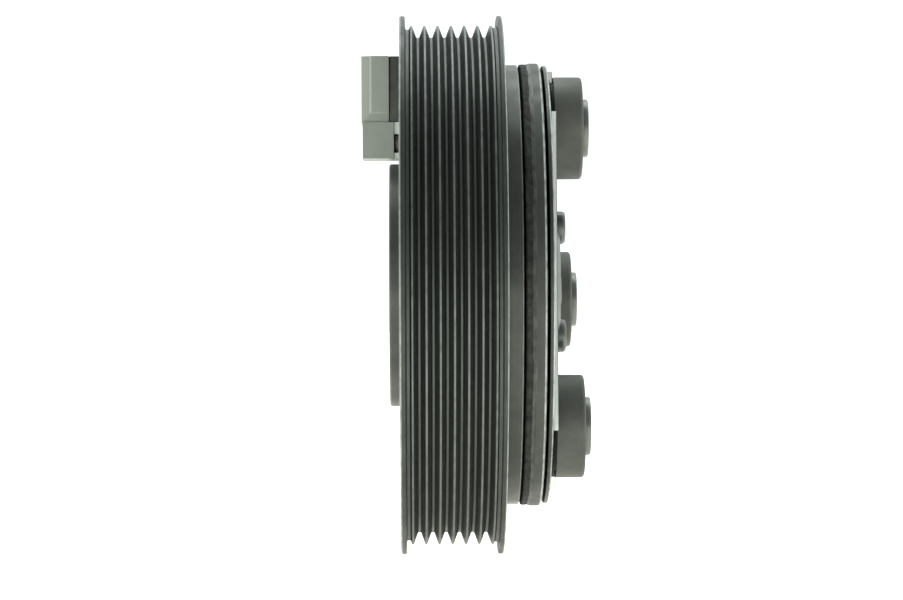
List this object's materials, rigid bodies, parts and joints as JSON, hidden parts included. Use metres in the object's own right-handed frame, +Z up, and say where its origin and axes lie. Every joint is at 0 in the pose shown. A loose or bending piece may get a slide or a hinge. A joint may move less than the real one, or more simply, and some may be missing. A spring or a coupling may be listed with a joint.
{
  "type": "electromagnetic clutch",
  "caption": "Compressor clutch: a grooved pulley on a ball bearing turns round a fixed field coil, whose pull closes a rubber-damped armature on the pulley and so drives the hub.",
  "frame": {"origin": "centre of the rear seat face of the coil's mounting plate, on the spin axis", "axes": "+X along the spin axis, from the compressor side towards the front of the clutch; +Z up, towards the coil's connector"},
  "size_m": [0.06, 0.145, 0.145],
  "materials": {
    "pulley_steel": "satin dark grey coating over turned steel, brighter worn edges",
    "rotor_steel": "turned dark steel with fine circular tool marks",
    "friction_lining": "matt moulded friction material",
    "armature_steel": "pressed dark steel with a torn rear edge and a bright front edge",
    "disc_steel": "dark spring steel sheet",
    "spider_zinc": "light zinc-coated sheet steel",
    "hub_steel": "dark machined steel",
    "rivet_steel": "blackened rivet steel",
    "cup_steel": "satin deep-drawn dark steel",
    "pin_steel": "satin turned dark steel",
    "damper_rubber": "matt black moulded rubber",
    "plate_steel": "dark pressed steel",
    "shell_steel": "dark phosphated steel",
    "plate_rivet_steel": "plain rivet steel",
    "connector_plastic": "light grey glass-filled plastic",
    "terminal_brass": "tinned brass blades",
    "grommet_rubber": "matt black rubber",
    "lead_insulation": "thin black insulation",
    "winding_copper": "enamelled copper wire",
    "bobbin_plastic": "natural moulded plastic",
    "potting_resin": "poured dark epoxy resin",
    "bearing_steel": "ground bearing steel",
    "ball_steel": "polished bearing steel",
    "cage_plastic": "brown moulded polyamide",
    "seal_rubber": "brown rubber lip seal",
    "spring_steel": "blackened spring steel",
    "shim_brass": "thin rolled brass"
  },
  "bodies": {
    "field": {"mounting_plate": "plate_steel", "coil_shell": "shell_steel", "coil_bobbin": "bobbin_plastic", "coil_winding": "winding_copper", "coil_potting": "potting_resin", "plate_rivets": "plate_rivet_steel", "connector_bracket": "plate_steel", "connector_housing": "connector_plastic", "connector_terminals": "terminal_brass", "lead_grommet": "grommet_rubber", "lead_wires": "lead_insulation", "bearing_inner_ring": "bearing_steel"},
    "rotor": {"rotor_body": "rotor_steel", "pulley_rim": "pulley_steel", "friction_ring": "friction_lining", "bearing_outer_ring": "bearing_steel", "bearing_seal_rear": "seal_rubber", "bearing_seal_front": "seal_rubber", "bearing_snap_ring": "spring_steel"},
    "bearing_cage": {"balls_rear": "ball_steel", "balls_front": "ball_steel", "cage_rear": "cage_plastic", "cage_front": "cage_plastic"},
    "hub": {"hub": "hub_steel", "shims": "shim_brass", "hub_disc": "disc_steel", "spider_plate": "spider_zinc", "hub_rivets": "rivet_steel", "damper_rubber_1": "damper_rubber", "damper_rubber_2": "damper_rubber", "damper_rubber_3": "damper_rubber"},
    "armature": {"armature_plate": "armature_steel", "damper_cup_1": "cup_steel", "damper_cup_2": "cup_steel", "damper_cup_3": "cup_steel", "damper_pin_1": "pin_steel", "damper_pin_2": "pin_steel", "damper_pin_3": "pin_steel"}
  },
  "joints": [
    {"name": "rotor_spin", "type": "hinge", "parent": "field", "child": "rotor", "pos_m": [0.019, 0, 0], "axis": [1, 0, 0], "continuous": true},
    {"name": "cage_spin", "type": "hinge", "parent": "field", "child": "bearing_cage", "pos_m": [0.019, 0, 0], "axis": [1, 0, 0], "continuous": true},
    {"name": "hub_spin", "type": "hinge", "parent": "field", "child": "hub", "pos_m": [0.036, 0, 0], "axis": [1, 0, 0], "continuous": true},
    {"name": "armature_pull", "type": "slide", "parent": "hub", "child": "armature", "axis": [-1, 0, 0], "range_m": [0, 0.00049], "stiffness_N_per_m": 40000, "deforming": ["damper_rubber_1", "damper_rubber_2", "damper_rubber_3"]}
  ],
  "couplings": [
    {"joint": "cage_spin", "follows": "rotor_spin", "ratio": 0.5622}
  ]
}
